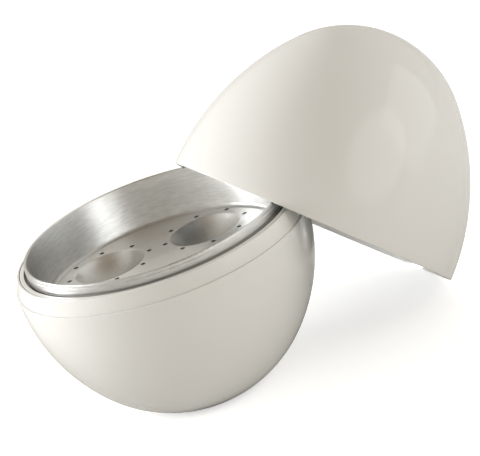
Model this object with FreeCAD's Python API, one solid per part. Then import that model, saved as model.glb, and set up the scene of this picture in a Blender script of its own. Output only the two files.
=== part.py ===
import FreeCAD, Part
import math
import os

# An egg-shaped cooker for four eggs. The white lower shell carries an aluminium water bowl in a
# collar ring, and a drawn tray lies on the bowl's ledge. The white lid has an aluminium dome of
# its own, and leans beside the open base: its edge lies on the bowl's rim in two places and on
# the table in a third. The origin is the middle of the foot, on the table, with +Z up.

# Driving dimensions, in millimetres and degrees
egg_radius = 72.5        # of both shells, at the parting line between base and lid
base_height = 89.5       # from the table to the crown of the aluminium rim
parting_drop = 13.05     # from that crown down to the parting line
seat_drop = 8.6          # from the crown down to the collar's seat in the lower shell
foot_radius = 25.3       # of the flat that the base stands on
base_turn = 40.5         # angle that the base's side curve runs through before its floor curve
lid_height = 99.1        # of the lid, over the parting line
lid_turn = 41.9          # angle that the lid's side curve runs through before its end curve

base_wall = 2.4
foot_floor = 3.0         # thickness of the lower shell over its foot
ledge_width = 1.1        # flat that the lid's edge meets
shoulder_step = 0.45     # upright edge over that flat
shoulder_lean = 1.8      # how far the shoulder leans in on its way up to the neck's lip
neck_lip = 0.9           # top of that lip, level with the collar round which it stands
neck_seat = 1.7          # flat in the neck that carries the collar
neck_height = 2.2        # upright bore under that flat
neck_root = 1.5          # from the parting line down to where the neck runs into the wall

collar_band = 2.2        # width of the collar's visible band
groove_width = 1.3       # groove round the rim, which takes the edge of the lid's dome
groove_depth = 2.35
collar_plate = 1.8       # thickness under that groove
skirt_wall = 1.6         # skirt of the collar, inside the neck
hook_reach = 0.75        # bead round the skirt, which hooks under the neck
hook_height = 1.8
skirt_tail = 0.4         # skirt below its bead

sheet = 0.6              # aluminium sheet of the bowl and the dome
hem_width = 1.55         # across the folded rim, from inside to outside
rim_skirt = 5.35         # height of the rim's outer skirt
bead_drop = 2.0          # from the crown to the small step round the skirt
crown_flat = 0.05        # flat left on top of the fold
bead_step = 0.2
bowl_taper = 8.6         # lean of the bowl's wall above the tray
tray_drop = 22.05        # from the crown to the top of the tray
ledge_bend = 2.6         # bend from the wall into the tray's ledge
tray_seat = 1.2          # width of the flat that carries the tray
inner_bend = 0.9         # bend from the ledge down into the water bowl
bowl_air = 21.9          # between the lower shell's floor and the water bowl
bowl_side_taper = 9.0
bowl_bend = 24.0         # large bend between the water bowl's side and its bottom

tray_sheet = 0.8
well_sphere = 20.5       # radius of an egg well's dish, inside
well_depth = 10.0
well_lip = 1.5           # bend of a well's lip, on top
well_turn = 4.5          # turn of the square of wells
well_count = 4
steam_ring = 20.6        # circle of steam holes round each well
steam_count = 8
steam_hole = 2.4         # diameter of a steam hole
steam_web = 0.6          # metal left between the outermost hole and the tray's edge

lid_wall = 2.6
lip_wall = 1.6           # thinner wall of the lid below its ring
lid_edge = 0.8           # flat of the lid's edge
lid_chamfer = 3.4        # height of the inner chamfer over that edge
ring_height = 4.5        # ring that holds the dome in the lid
dome_air = 1.8           # between the dome and the lid's wall
dome_bend = 0.8          # outer bend over the step by which the dome sits on its ring

slide_gap = 0.2          # between plastic pieces that slide into each other
seam_gap = 0.3           # open line between the collar and the neck's lip
metal_gap = 0.25         # between sheet metal and what surrounds it
close_gap = 0.3          # over and under the closed lid's ring and dome
lean_share = 0.709       # where the rim meets the leaning lid's edge, from its middle to its top
lean_heading = 19.5      # direction in which the lid leans, from +X towards +Y
lean_gap = 0.15          # between the lid's edge and the rim that carries it
soft_edge = 0.3          # rounding of moulded edges
foot_edge = 1.2          # rounding round the foot

# Levels and radii that follow
crown = base_height
parting = crown - parting_drop
seat = crown - seat_drop
skirt_foot = crown - rim_skirt
groove_floor = skirt_foot - groove_depth
tray_top = crown - tray_drop
tray_ledge = tray_top - tray_sheet
bowl_bottom = foot_floor + bowl_air + sheet
lid_level = parting + close_gap
ring_foot = skirt_foot + close_gap
ring_top = ring_foot + ring_height

shoulder_radius = egg_radius - ledge_width
neck_top_radius = shoulder_radius - shoulder_lean
lip_radius = neck_top_radius - neck_lip
band_radius = lip_radius - seam_gap
neck_radius = band_radius - neck_seat
groove_radius = band_radius - collar_band
rim_radius = groove_radius - groove_width
mouth_radius = rim_radius - hem_width
dome_edge_radius = rim_radius + (groove_width + sheet) / 2
lid_mouth = egg_radius - lid_edge


def point(radius, height):
    return FreeCAD.Vector(radius, 0, height)


def polar(centre, radius, angle):
    # The point at that distance from the centre, at an angle from +X towards +Z
    turn = math.radians(angle)
    return centre + point(radius * math.cos(turn), radius * math.sin(turn))


def line(start, end):
    return Part.LineSegment(start, end).toShape()


def arc(centre, radius, start, end):
    middle = polar(centre, radius, (start + end) / 2)
    return Part.Arc(polar(centre, radius, start), middle, polar(centre, radius, end)).toShape()


def polyline(points):
    return [line(start, end) for start, end in zip(points, points[1:])]


def bent_path(corners):
    # Straight runs joined by tangent bends. Each corner is its radius from the axis, its height
    # and its bend.
    spots = [point(radius, height) for radius, height, bend in corners]
    edges = []
    start = spots[0]
    for before, spot, after, corner in zip(spots, spots[1:], spots[2:], corners[1:]):
        back = (before - spot).normalize()
        ahead = (after - spot).normalize()
        half = back.getAngle(ahead) / 2
        reach = corner[2] / math.tan(half)
        middle = spot + (back + ahead).normalize() * (corner[2] / math.sin(half) - corner[2])
        edges.append(line(start, spot + back * reach))
        edges.append(Part.Arc(spot + back * reach, middle, spot + ahead * reach).toShape())
        start = spot + ahead * reach
    edges.append(line(start, spots[-1]))
    return edges


def turned(edges):
    # A solid turned about the axis from a closed outline
    face = Part.Face(Part.Wire(edges))
    return face.revolve(FreeCAD.Vector(0, 0, 0), FreeCAD.Vector(0, 0, 1), 360)


def spun(edges, thickness):
    # A sheet of even thickness turned about the axis. Thickness goes to the left of the path.
    face = Part.Wire(edges).makeOffset2D(thickness, 0, True, True, False)
    return face.revolve(FreeCAD.Vector(0, 0, 0), FreeCAD.Vector(0, 0, 1), 360)


def soften(solid, rings, rounding):
    # Rounds the circular edges that lie at the given radii and heights
    found = []
    for edge in solid.Edges:
        if edge.Degenerated or not isinstance(edge.Curve, Part.Circle):
            continue
        curve = edge.Curve
        for radius, height in rings:
            if abs(curve.Radius - radius) < 1e-4 and abs(curve.Center.z - height) < 1e-4:
                found.append(edge)
    return solid.makeFillet(rounding, found)


def flank_radius(height, turn, flat):
    # Radius of the side curve that passes smoothly, at the turn, into a curve centred on the
    # axis. That curve ends at the height, in a flat of the given radius.
    swing = math.tan(math.radians(turn))
    rise = 1 / math.cos(math.radians(turn)) - 1
    half = height * swing - egg_radius * rise
    rest = flat ** 2 + height ** 2 - egg_radius ** 2
    return egg_radius + (half - math.sqrt(half ** 2 - 2 * rise * rest)) / (2 * rise)


def end_curve(flank, turn, way):
    # Centre and radius of the curve that closes an end of the egg, tangent to its side curve.
    # Way is 1 for the lid and -1 for the base.
    reach = (flank - egg_radius) * math.tan(math.radians(turn))
    radius = flank - (flank - egg_radius) / math.cos(math.radians(turn))
    return point(0, parting + way * reach), radius


def side_radius(flank, inset, height):
    # Radius of the side curve at a height, inside the egg's surface by the inset
    return egg_radius - flank + math.sqrt((flank - inset) ** 2 - (height - parting) ** 2)


def side_angle(flank, inset, height):
    return math.degrees(math.asin((height - parting) / (flank - inset)))


base_flank = flank_radius(parting, base_turn, foot_radius)
lid_flank = flank_radius(lid_height, lid_turn, 0)


def base_shell():
    # White bowl with a flat foot, a flat for the lid's edge and a sloping shoulder over it
    side = point(egg_radius - base_flank, parting)
    floor, floor_radius = end_curve(base_flank, base_turn, -1)
    inner_side = base_flank - base_wall
    inner_floor = floor_radius - base_wall
    foot_angle = math.degrees(math.asin(-floor.z / floor_radius))
    inner_angle = math.degrees(math.asin((foot_floor - floor.z) / inner_floor))
    root = parting - neck_root
    root_angle = side_angle(base_flank, base_wall, root)
    foot = polar(floor, floor_radius, foot_angle)
    inner_foot = polar(floor, inner_floor, inner_angle)
    neck = [
        polar(side, inner_side, root_angle),
        point(neck_radius, seat - neck_height),
        point(neck_radius, seat),
        point(lip_radius, seat),
        point(lip_radius, skirt_foot),
        point(neck_top_radius, skirt_foot),
        point(shoulder_radius, parting + shoulder_step),
        point(shoulder_radius, parting),
        point(egg_radius, parting),
    ]
    edges = [line(point(0, 0), foot)]
    edges.append(arc(floor, floor_radius, foot_angle, -base_turn))
    edges.append(arc(side, base_flank, -base_turn, 0))
    edges.extend(polyline(neck[::-1]))
    edges.append(arc(side, inner_side, root_angle, -base_turn))
    edges.append(arc(floor, inner_floor, -base_turn, inner_angle))
    edges.extend(polyline([inner_foot, point(0, foot_floor), point(0, 0)]))
    solid = turned(edges)
    solid = soften(solid, [(foot.x, 0)], foot_edge)
    return soften(solid, [(neck_top_radius, skirt_foot), (egg_radius, parting)], soft_edge)


def bowl_wall_radius(height):
    # Inside of the bowl's leaning wall
    return mouth_radius - (crown - height) * math.tan(math.radians(bowl_taper))


def tray_radius():
    # The tray ends where the ledge's bend begins
    reach = ledge_bend * math.tan(math.radians(90 - bowl_taper) / 2)
    return bowl_wall_radius(tray_ledge) - reach - metal_gap


def base_liner():
    # Spun bowl: folded rim with a bead round its skirt, leaning wall, ledge and water bowl
    fold = hem_width - bead_step - crown_flat
    hem_bend = fold / (1 + math.tan(math.radians(90 - bowl_taper) / 2))
    bead_bend = bead_step / 2
    bead_level = crown - bead_drop
    ledge_corner = bowl_wall_radius(tray_ledge)
    ledge_reach = ledge_bend * math.tan(math.radians(90 - bowl_taper) / 2)
    inner_reach = inner_bend * math.tan(math.radians(90 - bowl_side_taper) / 2)
    inner_corner = ledge_corner - ledge_reach - tray_seat - inner_reach
    side_fall = (tray_ledge - bowl_bottom) * math.tan(math.radians(bowl_side_taper))
    path = bent_path([
        (rim_radius, skirt_foot, 0),
        (rim_radius, bead_level, bead_bend),
        (rim_radius - bead_step, bead_level + bead_step, bead_bend),
        (rim_radius - bead_step, crown, hem_bend),
        (mouth_radius, crown, hem_bend),
        (ledge_corner, tray_ledge, ledge_bend),
        (inner_corner, tray_ledge, inner_bend),
        (inner_corner - side_fall, bowl_bottom, bowl_bend),
        (0, bowl_bottom, 0),
    ])
    return spun(path, sheet)


def collar():
    # Moulded ring: seat of the bowl's rim, groove, visible band, and a hooked skirt in the neck
    taper = math.tan(math.radians(bowl_taper))
    bore = bowl_wall_radius(skirt_foot) + sheet / math.cos(math.radians(bowl_taper)) + metal_gap
    plate_foot = groove_floor - collar_plate
    skirt_radius = neck_radius - slide_gap
    hook_top = seat - neck_height - slide_gap
    hook_foot = hook_top - hook_height
    outline = [
        point(bore, skirt_foot),
        point(rim_radius, skirt_foot),
        point(rim_radius, groove_floor),
        point(groove_radius, groove_floor),
        point(groove_radius, skirt_foot),
        point(band_radius, skirt_foot),
        point(band_radius, seat),
        point(skirt_radius, seat),
        point(skirt_radius, hook_top),
        point(skirt_radius + hook_reach, hook_top - hook_reach),
        point(skirt_radius, hook_foot),
        point(skirt_radius, hook_foot - skirt_tail),
        point(skirt_radius - skirt_wall, hook_foot - skirt_tail),
        point(skirt_radius - skirt_wall, plate_foot),
        point(bore - (skirt_foot - plate_foot) * taper, plate_foot),
        point(bore, skirt_foot),
    ]
    band = [(band_radius, skirt_foot), (groove_radius, skirt_foot)]
    return soften(turned(polyline(outline)), band, soft_edge)


def egg_tray():
    # Drawn plate with four round wells, and a circle of steam holes round each well
    radius = tray_radius()
    plate = Part.makeCylinder(radius, tray_sheet, point(0, tray_ledge))
    plate = soften(plate, [(radius, tray_top)], soft_edge)
    dish = point(0, tray_top - well_depth + well_sphere)
    lip_height = tray_top - well_lip
    reach = well_sphere + well_lip
    lip = point(math.sqrt(reach ** 2 - (dish.z - lip_height) ** 2), lip_height)
    bend_angle = math.degrees(math.atan2(dish.z - lip_height, lip.x))
    well_path = [
        arc(dish, well_sphere, -90, -bend_angle),
        arc(lip, well_lip, 180 - bend_angle, 90),
        line(point(lip.x, tray_top), point(lip.x + well_lip, tray_top)),
    ]
    well = spun(well_path, -tray_sheet)
    mouth = Part.makeCylinder(lip.x + well_lip / 2, tray_sheet, point(0, tray_ledge))
    circle = radius - steam_web - steam_hole / 2 - steam_ring
    for number in range(well_count):
        heading = math.radians(well_turn + 360 / well_count * (number + 0.5))
        centre = FreeCAD.Vector(circle * math.cos(heading), circle * math.sin(heading), 0)
        plate = plate.cut(mouth.translated(centre)).fuse(well.translated(centre))
        for hole in range(steam_count):
            turn = math.radians(well_turn + 360 / steam_count * hole)
            offset = FreeCAD.Vector(steam_ring * math.cos(turn), steam_ring * math.sin(turn), 0)
            place = point(0, tray_ledge) + centre + offset
            plate = plate.cut(Part.makeCylinder(steam_hole / 2, tray_sheet, place))
    return plate.removeSplitter()


def lid_shell():
    # White dome, closed position. The edge has an inner chamfer that goes over the shoulder.
    side = point(egg_radius - lid_flank, parting)
    end, end_radius = end_curve(lid_flank, lid_turn, 1)
    start_angle = side_angle(lid_flank, 0, lid_level)
    step_angle = side_angle(lid_flank, lid_wall, ring_top)
    edges = [arc(side, lid_flank, start_angle, lid_turn)]
    edges.append(arc(end, end_radius, lid_turn, 90))
    edges.append(line(polar(end, end_radius, 90), polar(end, end_radius - lid_wall, 90)))
    edges.append(arc(end, end_radius - lid_wall, 90, lid_turn))
    edges.append(arc(side, lid_flank - lid_wall, lid_turn, step_angle))
    lip_angle = side_angle(lid_flank, lip_wall, ring_top)
    chamfer_angle = side_angle(lid_flank, lip_wall, lid_level + lid_chamfer)
    step = [polar(side, lid_flank - lid_wall, step_angle)]
    step.append(polar(side, lid_flank - lip_wall, lip_angle))
    edges.extend(polyline(step))
    edges.append(arc(side, lid_flank - lip_wall, lip_angle, chamfer_angle))
    chamfer = [polar(side, lid_flank - lip_wall, chamfer_angle), point(lid_mouth, lid_level)]
    chamfer.append(polar(side, lid_flank, start_angle))
    edges.extend(polyline(chamfer))
    outside = side_radius(lid_flank, 0, lid_level)
    return soften(turned(edges), [(outside, lid_level)], soft_edge)


def lid_ring():
    # Ring under the step of the lid's wall. The dome's edge hangs through it.
    bore = dome_edge_radius + metal_gap
    outside = side_radius(lid_flank, lip_wall, ring_top) - slide_gap
    outline = [
        point(bore, ring_foot),
        point(outside, ring_foot),
        point(outside, ring_top),
        point(bore, ring_top),
        point(bore, ring_foot),
    ]
    return soften(turned(polyline(outline)), [(bore, ring_foot), (outside, ring_foot)], soft_edge)


def lid_liner():
    # Spun dome that keeps the waves off the eggs. Its edge drops into the groove round the rim.
    inset = lid_wall + dome_air
    side = point(egg_radius - lid_flank, parting)
    end, end_radius = end_curve(lid_flank, lid_turn, 1)
    bend_level = ring_top + dome_bend
    bend = point(side_radius(lid_flank, inset + dome_bend, bend_level), bend_level)
    bend_angle = side_angle(lid_flank, inset + dome_bend, bend_level)
    crease = point(dome_edge_radius + metal_gap, ring_top - metal_gap)
    path = [
        line(point(dome_edge_radius, groove_floor + close_gap), polar(crease, metal_gap, 180)),
        arc(crease, metal_gap, 180, 90),
        line(polar(crease, metal_gap, 90), polar(bend, dome_bend, -90)),
        arc(bend, dome_bend, -90, bend_angle),
        arc(side, lid_flank - inset, bend_angle, lid_turn),
        arc(end, end_radius - inset, lid_turn, 90),
    ]
    return spun(path, sheet)


def lean_angle():
    # The lid's edge touches the table at its lowest point, on the rounded outside. The rim's fold
    # crosses the edge at the given share of the way from the edge's middle to its top.
    reach = side_radius(lid_flank, 0, lid_level) - soft_edge + lean_share * lid_mouth
    climb = crown - hem_width / 2 - soft_edge
    return math.degrees(math.asin(climb / math.hypot(reach, soft_edge)) + math.atan(soft_edge / reach))


def lean_place(slide):
    # Where the lid lies when the middle of its edge plane is that far out along the heading
    heading = math.radians(lean_heading)
    lean = math.radians(lean_angle())
    edge_middle = side_radius(lid_flank, 0, lid_level) - soft_edge
    rise = edge_middle * math.sin(lean) - soft_edge * math.cos(lean) + soft_edge
    target = FreeCAD.Vector(slide * math.cos(heading), slide * math.sin(heading), rise)
    tilt = FreeCAD.Rotation(FreeCAD.Vector(-math.sin(heading), math.cos(heading), 0), lean_angle())
    lift_off = FreeCAD.Placement(point(0, -lid_level), FreeCAD.Rotation())
    return FreeCAD.Placement(target, tilt).multiply(lift_off)


def lid_lean():
    # The lid starts with the inside of its edge through the middle of the rim's fold, and is
    # slid out until the two lie side by side, the gap apart.
    upright = FreeCAD.Vector(0, 0, 1)
    fold_radius = rim_radius - hem_width / 2
    fold_level = crown - hem_width / 2
    fold = Part.Circle(point(0, fold_level), upright, fold_radius).toShape()
    mouth = Part.Circle(point(0, lid_level), upright, lid_mouth).toShape()
    climb = fold_level - lean_place(0).multVec(point(0, lid_level)).z
    half_chord = lid_mouth * math.sqrt(1 - lean_share ** 2)
    crossing = climb / math.tan(math.radians(lean_angle()))
    crossing = crossing + math.sqrt(fold_radius ** 2 - half_chord ** 2)
    clear = crossing + egg_radius / 4
    for halving in range(20):
        middle = (clear + crossing) / 2
        edge = mouth.transformed(lean_place(middle).toMatrix())
        if edge.distToShape(fold)[0] > hem_width / 2 + lean_gap:
            clear = middle
        else:
            crossing = middle
    return lean_place(clear)


def main():
    lean = lid_lean()
    pieces = {
        "base_shell": base_shell(),
        "collar": collar(),
        "base_liner": base_liner(),
        "egg_tray": egg_tray(),
        "lid_shell": lid_shell().transformed(lean.toMatrix()),
        "lid_ring": lid_ring().transformed(lean.toMatrix()),
        "lid_liner": lid_liner().transformed(lean.toMatrix()),
    }
    os.makedirs("parts", exist_ok=True)
    for name, shape in pieces.items():
        shape.exportStep("parts/" + name + ".step")
        print(name, len(shape.Solids), shape.isValid(), round(shape.Volume / 1000, 2), "cm3")


main()
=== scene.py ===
import math

import bpy
from mathutils import Matrix, Vector

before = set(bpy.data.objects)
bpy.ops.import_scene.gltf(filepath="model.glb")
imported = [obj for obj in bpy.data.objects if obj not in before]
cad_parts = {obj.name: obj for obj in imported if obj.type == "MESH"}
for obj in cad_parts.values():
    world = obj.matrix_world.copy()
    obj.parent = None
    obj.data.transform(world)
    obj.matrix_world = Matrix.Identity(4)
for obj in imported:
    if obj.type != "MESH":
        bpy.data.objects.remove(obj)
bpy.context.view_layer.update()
bpy.ops.object.select_all(action="DESELECT")
print("frame loaded, nodes:", ", ".join(sorted(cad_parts)))

# Camera: a long lens from a little above, rolled so that the cooker leans to the left in the picture
cameraValues = {
    "target": (0.0, 0.0, 0.0895),   # middle of the bowl's rim
    "elevation": 19.31,             # degrees above the table
    "roll": 19.83,                  # degrees
    "distance": 1.8,
    "lens": 284.75,                 # focal length and picture width, both in millimetres
    "sensorWidth": 36,
    "pictureWidth": 480,            # the same width in pixels
    "targetShift": (87.95, -6.81),  # from the target to the picture's middle, in pixels, right and up
    "nearest": 0.05,
    "farthest": 60,
}


def placeCamera(values):
    elevation = math.radians(values["elevation"])
    roll = math.radians(values["roll"])
    ahead = Vector((0, math.cos(elevation), -math.sin(elevation)))
    level = Vector((1, 0, 0))
    upright = Vector((0, math.sin(elevation), math.cos(elevation)))
    right = level * math.cos(roll) - upright * math.sin(roll)
    up = level * math.sin(roll) + upright * math.cos(roll)
    data = bpy.data.cameras.new("camera")
    data.lens = values["lens"]
    data.sensor_width = values["sensorWidth"]
    data.clip_start = values["nearest"]
    data.clip_end = values["farthest"]
    pixels = values["lens"] / values["sensorWidth"] * values["pictureWidth"]
    shiftRight, shiftUp = values["targetShift"]
    sight = (ahead * pixels + right * shiftRight + up * shiftUp).normalized()
    right = (right - sight * right.dot(sight)).normalized()
    up = right.cross(sight)
    camera = bpy.data.objects.new("camera", data)
    bpy.context.scene.collection.objects.link(camera)
    place = Matrix((right, up, -sight)).transposed().to_4x4()
    place.translation = Vector(values["target"]) - ahead * values["distance"]
    camera.matrix_world = place
    bpy.context.scene.camera = camera


placeCamera(cameraValues)
print("camera placed")

# Studio: a pale floor under a warm soft fill, which is dim and brown high over the front. A low card shades
# the cooker's lower part from the left window. Bearings are degrees from the front towards the right.
studioValues = {
    "floorSize": 24,
    "floorDrop": 0.0002,            # keeps the floor just under the foot
    "floorColour": (0.86, 0.86, 0.85, 1),
    "floorRoughness": 0.9,
    "floorGlow": 0.60,              # only for the camera, so that the floor reads as white
    "backdrop": (1.0, 1.0, 1.0, 1),
    "fill": (0.655, 0.63, 0.575, 1),
    "dim": (0.26, 0.21, 0.16, 1),
    "dimBearing": 10,
    "dimHeight": 65,
    "dimReach": 50,                 # degrees from the middle of the dim part to its end
    "cardBearing": -105,
    "cardDistance": 0.4,
    "cardSize": (1.2, 0.126),
}


def towards(bearing, height):
    # The direction at a bearing and a height over the table, both in degrees
    bearing, height = math.radians(bearing), math.radians(height)
    level = math.cos(height)
    return Vector((math.sin(bearing) * level, -math.cos(bearing) * level, math.sin(height)))


def makeFloor(values):
    place = (0, 0, -values["floorDrop"])
    bpy.ops.mesh.primitive_plane_add(size=values["floorSize"], location=place)
    floor = bpy.context.object
    floor.name = "floor"
    bpy.ops.object.transform_apply(location=True, rotation=False, scale=False)
    material = bpy.data.materials.new("floor")
    material.use_nodes = True
    nodes = material.node_tree.nodes
    links = material.node_tree.links
    shader = nodes["Principled BSDF"]
    shader.inputs["Base Color"].default_value = values["floorColour"]
    shader.inputs["Roughness"].default_value = values["floorRoughness"]
    shader.inputs["Emission Color"].default_value = values["backdrop"]
    seen = nodes.new("ShaderNodeLightPath")
    glow = nodes.new("ShaderNodeMath")
    glow.operation = "MULTIPLY"
    glow.inputs[1].default_value = values["floorGlow"]
    links.new(seen.outputs["Is Camera Ray"], glow.inputs[0])
    links.new(glow.outputs["Value"], shader.inputs["Emission Strength"])
    floor.data.materials.append(material)
    floor.select_set(False)
    return material


def makeCard(values, material):
    width, tall = values["cardSize"]
    place = towards(values["cardBearing"], 0) * values["cardDistance"] + Vector((0, 0, tall / 2))
    turn = (math.radians(90), 0, math.radians(values["cardBearing"]))
    bpy.ops.mesh.primitive_plane_add(size=1, location=place, rotation=turn)
    card = bpy.context.object
    card.name = "card"
    card.scale = (width, tall, 1)
    bpy.ops.object.transform_apply(location=True, rotation=True, scale=True)
    card.data.materials.append(material)
    card.visible_camera = False
    card.select_set(False)


def makeWorld(values):
    # The camera sees a white backdrop; everything else is lit by the softer fill
    world = bpy.data.worlds.new("studio")
    bpy.context.scene.world = world
    world.use_nodes = True
    nodes = world.node_tree.nodes
    links = world.node_tree.links
    fill = nodes["Background"]
    place = nodes.new("ShaderNodeTexCoord")
    close = nodes.new("ShaderNodeVectorMath")
    close.operation = "DOT_PRODUCT"
    close.inputs[1].default_value = towards(values["dimBearing"], values["dimHeight"])
    links.new(place.outputs["Generated"], close.inputs[0])
    share = nodes.new("ShaderNodeMapRange")
    share.interpolation_type = "SMOOTHSTEP"
    share.inputs["From Min"].default_value = math.cos(math.radians(values["dimReach"]))
    links.new(close.outputs["Value"], share.inputs["Value"])
    sky = nodes.new("ShaderNodeMix")
    sky.data_type = "RGBA"
    sky.inputs["A"].default_value = values["fill"]
    sky.inputs["B"].default_value = values["dim"]
    links.new(share.outputs["Result"], sky.inputs["Factor"])
    links.new(sky.outputs["Result"], fill.inputs["Color"])
    backdrop = nodes.new("ShaderNodeBackground")
    backdrop.inputs["Color"].default_value = values["backdrop"]
    seen = nodes.new("ShaderNodeLightPath")
    mix = nodes.new("ShaderNodeMixShader")
    links.new(seen.outputs["Is Camera Ray"], mix.inputs["Fac"])
    links.new(fill.outputs["Background"], mix.inputs[1])
    links.new(backdrop.outputs["Background"], mix.inputs[2])
    links.new(mix.outputs["Shader"], nodes["World Output"].inputs["Surface"])


floorMaterial = makeFloor(studioValues)
makeCard(studioValues, floorMaterial)
makeWorld(studioValues)
bpy.context.scene.view_settings.view_transform = "Standard"
print("studio ready")

# Lights: a bright low window and a soft panel on the left, a pale window on the right, a wide lamp at the
# front right. All stand at the same distance from a point in the middle of the cooker.
lightDistance = 2.0
lightTarget = Vector((0.04, 0.02, 0.07))
lightValues = {
    "windowLeft": {
        "bearing": -105,
        "height": 14,
        "shape": "RECTANGLE",
        "size": (1.2, 0.34),
        "glow": 34.5,
        "colour": (0.96, 0.98, 1.0),
    },
    "panelLeft": {
        "bearing": -76,
        "height": 5,
        "shape": "RECTANGLE",
        "size": (0.9, 0.9),
        "glow": 2.4,
        "colour": (0.97, 0.99, 1.0),
    },
    "windowRight": {
        "bearing": 88,
        "height": 15,
        "shape": "RECTANGLE",
        "size": (1.5, 1.5),
        "glow": 0.85,
        "colour": (0.92, 0.96, 1.0),
    },
    "lampFront": {
        "bearing": 52,
        "height": 24,
        "shape": "ELLIPSE",
        "size": (1.7, 1.5),
        "glow": 0.72,
        "colour": (1.0, 0.99, 0.96),
    },
}


def makeLight(name, values):
    away = towards(values["bearing"], values["height"])
    width, tall = values["size"]
    data = bpy.data.lights.new(name, "AREA")
    data.shape = values["shape"]
    data.size, data.size_y = width, tall
    data.energy = values["glow"] * math.pi * width * tall
    data.color = values["colour"]
    lamp = bpy.data.objects.new(name, data)
    bpy.context.scene.collection.objects.link(lamp)
    lamp.location = lightTarget + away * lightDistance
    lamp.rotation_euler = (-away).to_track_quat("-Z", "Y").to_euler()
    lamp.visible_camera = False


for name, values in lightValues.items():
    makeLight(name, values)
print("lights placed:", ", ".join(lightValues))

creviceSamples = 12


def newMaterial(name):
    material = bpy.data.materials.new(name)
    material.use_nodes = True
    nodes = material.node_tree.nodes
    return material, nodes, material.node_tree.links, nodes["Principled BSDF"]


def addNoise(nodes, links, vector, scale, detail):
    noise = nodes.new("ShaderNodeTexNoise")
    noise.inputs["Scale"].default_value = scale
    noise.inputs["Detail"].default_value = detail
    links.new(vector, noise.inputs["Vector"])
    return noise.outputs["Fac"]


def addBump(nodes, links, shader, height, distance):
    bump = nodes.new("ShaderNodeBump")
    bump.inputs["Strength"].default_value = 1.0
    bump.inputs["Distance"].default_value = distance
    links.new(height, bump.inputs["Height"])
    links.new(bump.outputs["Normal"], shader.inputs["Normal"])


def addBlend(nodes, links, factor, first, second):
    blend = nodes.new("ShaderNodeMix")
    blend.data_type = "RGBA"
    blend.inputs["A"].default_value = first
    blend.inputs["B"].default_value = second
    links.new(factor, blend.inputs["Factor"])
    return blend.outputs["Result"]


def addPaintedCreviceShade(nodes, links, colour, values):
    # Painted shade: the colour darkens in deep narrow places, such as the groove and the seams, where shade
    # falls
    near = nodes.new("ShaderNodeAmbientOcclusion")
    near.inputs["Distance"].default_value = values["creviceReach"]
    near.samples = creviceSamples
    deep = nodes.new("ShaderNodeMapRange")
    deep.interpolation_type = "SMOOTHSTEP"
    deep.inputs["From Min"].default_value = values["creviceDeep"]
    deep.inputs["From Max"].default_value = values["creviceOpen"]
    deep.inputs["To Min"].default_value = 1
    deep.inputs["To Max"].default_value = 0
    links.new(near.outputs["AO"], deep.inputs["Value"])
    blend = nodes.new("ShaderNodeMix")
    blend.data_type = "RGBA"
    links.new(colour, blend.inputs["A"])
    blend.inputs["B"].default_value = values["creviceShadeColour"]
    links.new(deep.outputs["Result"], blend.inputs["Factor"])
    return blend.outputs["Result"]


# Moulded plastic: glossy, with a faint cloud in its colour and the soft waviness of a moulded face
plasticValues = {
    "colour": (0.84, 0.835, 0.815, 1),
    "shade": (0.82, 0.81, 0.785, 1),
    "roughness": 0.12,
    "ior": 1.49,
    "cloudScale": 9,
    "cloudDetail": 2,
    "peelScale": 120,
    "peelDetail": 1,
    "peelHeight": 0.00002,
    "creviceReach": 0.003,          # metres over which the painted crevice shade reaches
    "creviceDeep": 0.25,            # share of open sky where it is darkest, and where it begins
    "creviceOpen": 0.65,
    # colour of the painted crevice shade
    "creviceShadeColour": (0.14, 0.12, 0.10, 1),
}


def makePlastic(name, values):
    material, nodes, links, shader = newMaterial(name)
    place = nodes.new("ShaderNodeTexCoord").outputs["Object"]
    cloud = addNoise(nodes, links, place, values["cloudScale"], values["cloudDetail"])
    colour = addBlend(nodes, links, cloud, values["colour"], values["shade"])
    links.new(addPaintedCreviceShade(nodes, links, colour, values), shader.inputs["Base Color"])
    shader.inputs["Roughness"].default_value = values["roughness"]
    shader.inputs["IOR"].default_value = values["ior"]
    peel = addNoise(nodes, links, place, values["peelScale"], values["peelDetail"])
    addBump(nodes, links, shader, peel, values["peelHeight"])
    return material


# Spun aluminium: fine turned lines round the axis of the piece, broken into long streaks
aluminiumValues = {
    "colour": (0.88, 0.88, 0.87, 1),
    "shade": (0.59, 0.59, 0.58, 1),
    "roughness": 0.34,
    "roughSpread": 0.10,
    "ringScale": 1000,
    "ringDetail": 2,
    "ringHeight": 0.000012,
    "streak": 0.012,                # how much a turned line changes on its way round
    "anisotropy": 0.6,
    "anisotropyTurn": 0.25,         # of a full turn, so that highlights run across the turned lines
    # painted shade in crevices, darkening the colour as on the plastic
    "creviceReach": 0.004,
    "creviceDeep": 0.35,
    "creviceOpen": 0.90,
    "creviceShadeColour": (0.14, 0.13, 0.12, 1),
}

# The leaning lid's axis: its middle at the lid's edge, its lean, and the bearing of the lean from +X
lidPlace = {"middle": (0.073161, 0.025908, 0.052104), "lean": 46.09, "heading": 19.5}


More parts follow.
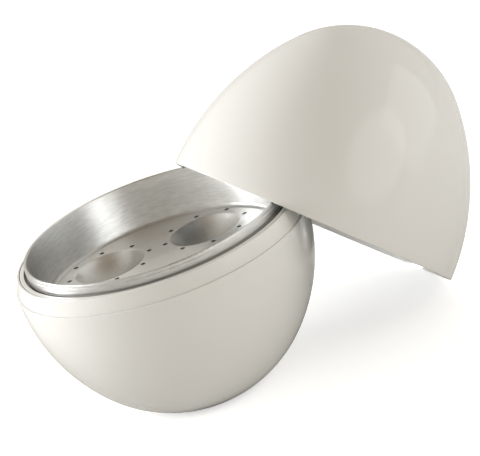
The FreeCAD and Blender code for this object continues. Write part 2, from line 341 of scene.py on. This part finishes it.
def makeSpunAluminium(name, values, axisPlace=None):
    material, nodes, links, shader = newMaterial(name)
    place = nodes.new("ShaderNodeTexCoord").outputs["Object"]
    onAxis = nodes.new("ShaderNodeMapping")
    onAxis.vector_type = "TEXTURE"
    if axisPlace:
        lean, heading = math.radians(axisPlace["lean"]), math.radians(axisPlace["heading"])
        turn = Matrix.Rotation(lean, 3, Vector((-math.sin(heading), math.cos(heading), 0)))
        onAxis.inputs["Location"].default_value = axisPlace["middle"]
        onAxis.inputs["Rotation"].default_value = turn.to_euler()
    links.new(place, onAxis.inputs["Vector"])
    apart = nodes.new("ShaderNodeSeparateXYZ")
    links.new(onAxis.outputs["Vector"], apart.inputs["Vector"])
    flat = nodes.new("ShaderNodeCombineXYZ")
    links.new(apart.outputs["X"], flat.inputs["X"])
    links.new(apart.outputs["Y"], flat.inputs["Y"])
    radius = nodes.new("ShaderNodeVectorMath")
    radius.operation = "LENGTH"
    links.new(flat.outputs["Vector"], radius.inputs[0])
    around = nodes.new("ShaderNodeMath")
    around.operation = "ARCTAN2"
    links.new(apart.outputs["X"], around.inputs[0])
    links.new(apart.outputs["Y"], around.inputs[1])
    streak = nodes.new("ShaderNodeMath")
    streak.operation = "MULTIPLY"
    streak.inputs[1].default_value = values["streak"]
    links.new(around.outputs["Value"], streak.inputs[0])
    rings = nodes.new("ShaderNodeCombineXYZ")
    links.new(radius.outputs["Value"], rings.inputs["X"])
    links.new(apart.outputs["Z"], rings.inputs["Y"])
    links.new(streak.outputs["Value"], rings.inputs["Z"])
    lines = addNoise(nodes, links, rings.outputs["Vector"], values["ringScale"], values["ringDetail"])
    colour = addBlend(nodes, links, lines, values["colour"], values["shade"])
    links.new(addPaintedCreviceShade(nodes, links, colour, values), shader.inputs["Base Color"])
    rough = nodes.new("ShaderNodeMapRange")
    rough.inputs["To Min"].default_value = values["roughness"] - values["roughSpread"] / 2
    rough.inputs["To Max"].default_value = values["roughness"] + values["roughSpread"] / 2
    links.new(lines, rough.inputs["Value"])
    links.new(rough.outputs["Result"], shader.inputs["Roughness"])
    shader.inputs["Metallic"].default_value = 1.0
    shader.inputs["Anisotropic"].default_value = values["anisotropy"]
    shader.inputs["Anisotropic Rotation"].default_value = values["anisotropyTurn"]
    addBump(nodes, links, shader, lines, values["ringHeight"])
    return material


# Drawn aluminium: fine even grain with no direction, rougher in the wells, where painted shade also darkens
# the colour
trayValues = {
    "colour": (0.92, 0.92, 0.91, 1),
    "shade": (0.76, 0.76, 0.75, 1),
    "roughness": 0.34,
    "grainScale": 900,
    "grainDetail": 3,
    "grainHeight": 0.000015,
    "wellLevel": (0.0580, 0.0668),  # heights where the wells are roughest and most darkened by painted shade, and where the tray's flat begins
    "wellShadeColour": (0.72, 0.71, 0.69, 1),
    "wellRoughness": 0.44,
    # painted shade in crevices, darkening the colour as on the plastic
    "creviceReach": 0.003,
    "creviceDeep": 0.40,
    "creviceOpen": 0.92,
    "creviceShadeColour": (0.20, 0.19, 0.18, 1),
}


def makeDrawnAluminium(name, values):
    material, nodes, links, shader = newMaterial(name)
    place = nodes.new("ShaderNodeTexCoord").outputs["Object"]
    grain = addNoise(nodes, links, place, values["grainScale"], values["grainDetail"])
    colour = addBlend(nodes, links, grain, values["colour"], values["shade"])
    apart = nodes.new("ShaderNodeSeparateXYZ")
    links.new(place, apart.inputs["Vector"])
    flat = nodes.new("ShaderNodeMapRange")
    flat.interpolation_type = "SMOOTHSTEP"
    flat.inputs["From Min"].default_value, flat.inputs["From Max"].default_value = values["wellLevel"]
    links.new(apart.outputs["Z"], flat.inputs["Value"])
    # Painted shade: the colour darkens down into the wells
    paintedWellShade = addBlend(nodes, links, flat.outputs["Result"], values["wellShadeColour"], (1, 1, 1, 1))
    wellShaded = nodes.new("ShaderNodeMix")
    wellShaded.data_type = "RGBA"
    wellShaded.blend_type = "MULTIPLY"
    wellShaded.inputs["Factor"].default_value = 1
    links.new(colour, wellShaded.inputs["A"])
    links.new(paintedWellShade, wellShaded.inputs["B"])
    links.new(addPaintedCreviceShade(nodes, links, wellShaded.outputs["Result"], values), shader.inputs["Base Color"])
    rough = nodes.new("ShaderNodeMapRange")
    rough.inputs["To Min"].default_value = values["wellRoughness"]
    rough.inputs["To Max"].default_value = values["roughness"]
    links.new(flat.outputs["Result"], rough.inputs["Value"])
    links.new(rough.outputs["Result"], shader.inputs["Roughness"])
    shader.inputs["Metallic"].default_value = 1.0
    addBump(nodes, links, shader, grain, values["grainHeight"])
    return material


# Each node's triangles are loose, so they are joined for smooth shading and parted again at sharp edges
shadingValues = {
    "joinReach": 0.000005,
    "sharpAngle": 28,               # degrees
}


def dress(nodeName, material, values):
    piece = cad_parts[nodeName]
    piece.data.materials.clear()
    piece.data.materials.append(material)
    piece.data.polygons.foreach_set("use_smooth", [True] * len(piece.data.polygons))
    join = piece.modifiers.new("join", "WELD")
    join.merge_threshold = values["joinReach"]
    part = piece.modifiers.new("part", "EDGE_SPLIT")
    part.split_angle = math.radians(values["sharpAngle"])


plastic = makePlastic("warmWhitePlastic", plasticValues)
collarPlastic = makePlastic("collarPlastic", plasticValues)
finishes = {
    "base_shell": plastic,
    "lid_shell": plastic,
    "collar": collarPlastic,
    "lid_ring": collarPlastic,
    "base_liner": makeSpunAluminium("spunBowl", aluminiumValues),
    "lid_liner": makeSpunAluminium("spunDome", aluminiumValues, lidPlace),
    "egg_tray": makeDrawnAluminium("drawnTray", trayValues),
}
for nodeName, material in finishes.items():
    dress(nodeName, material, shadingValues)
print("pieces dressed:", ", ".join(finishes))
